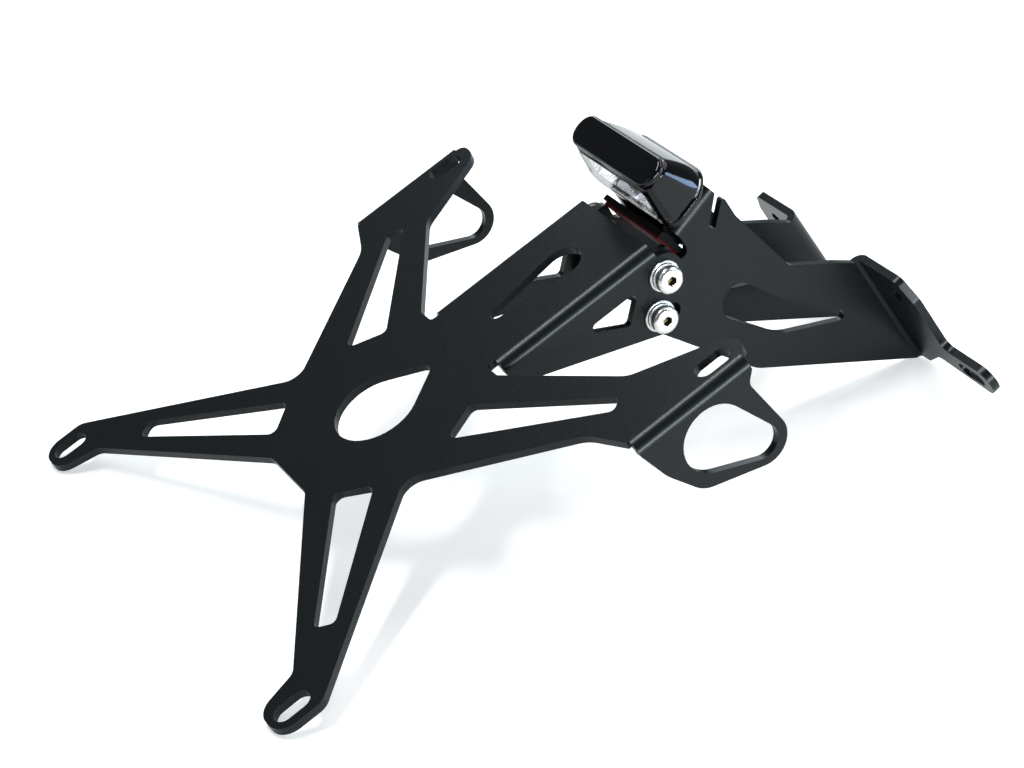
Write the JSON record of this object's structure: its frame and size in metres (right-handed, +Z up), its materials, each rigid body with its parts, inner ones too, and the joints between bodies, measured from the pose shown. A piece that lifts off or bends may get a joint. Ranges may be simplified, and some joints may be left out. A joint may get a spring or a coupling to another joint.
{
  "type": "motorbike tail tidy",
  "caption": "Short motorbike number-plate holder: a folded cross-shaped plate carrier on a hinged tail bracket, with plate light, red reflector and indicator loops.",
  "frame": {"origin": "bottom centre of the bounding box, with the part lying on a level surface on its two lower arm tips and the corners of its side plates", "axes": "+Z up, +X across the machine to its right as seen from behind the plate carrier's face, +Y from the plate's lower edge to the tail"},
  "size_m": [0.1778, 0.2542, 0.0945],
  "materials": {
    "coat": "satin black powder coat",
    "zinc": "bright zinc plate",
    "light_black": "gloss black",
    "clear": "clear, polished",
    "bowl": "bright metallised",
    "board": "matt green",
    "led": "yellow dome",
    "rubber": "matt black",
    "red": "ribbed, red",
    "tray": "black"
  },
  "bodies": {
    "bracket": {"tail_bracket": "coat", "light_board": "board", "light_body": "light_black", "light_bowl": "bowl", "light_front": "light_black", "light_gasket": "rubber", "light_grommet": "rubber", "light_led_c": "led", "light_led_l": "led", "light_led_r": "led", "light_lens": "clear", "light_nut_l": "zinc", "light_nut_r": "zinc", "light_stud_l": "zinc", "light_stud_r": "zinc", "lock_nut_l": "zinc", "lock_nut_r": "zinc", "lock_screw_l": "zinc", "lock_screw_r": "zinc", "lock_washer_l": "zinc", "lock_washer_r": "zinc", "pivot_nut_l": "zinc", "pivot_nut_r": "zinc", "pivot_screw_l": "zinc", "pivot_screw_r": "zinc", "pivot_washer_l": "zinc", "pivot_washer_r": "zinc", "reflector_lens": "red", "reflector_pad": "rubber", "reflector_tray": "tray"},
    "carrier": {"plate_carrier": "coat"}
  },
  "joints": [
    {"name": "plate_tilt", "type": "hinge", "parent": "bracket", "child": "carrier", "pos_m": [0, 0.03333, 0.05813], "axis": [1, 0, 0], "range_deg": [-20, 3]}
  ]
}
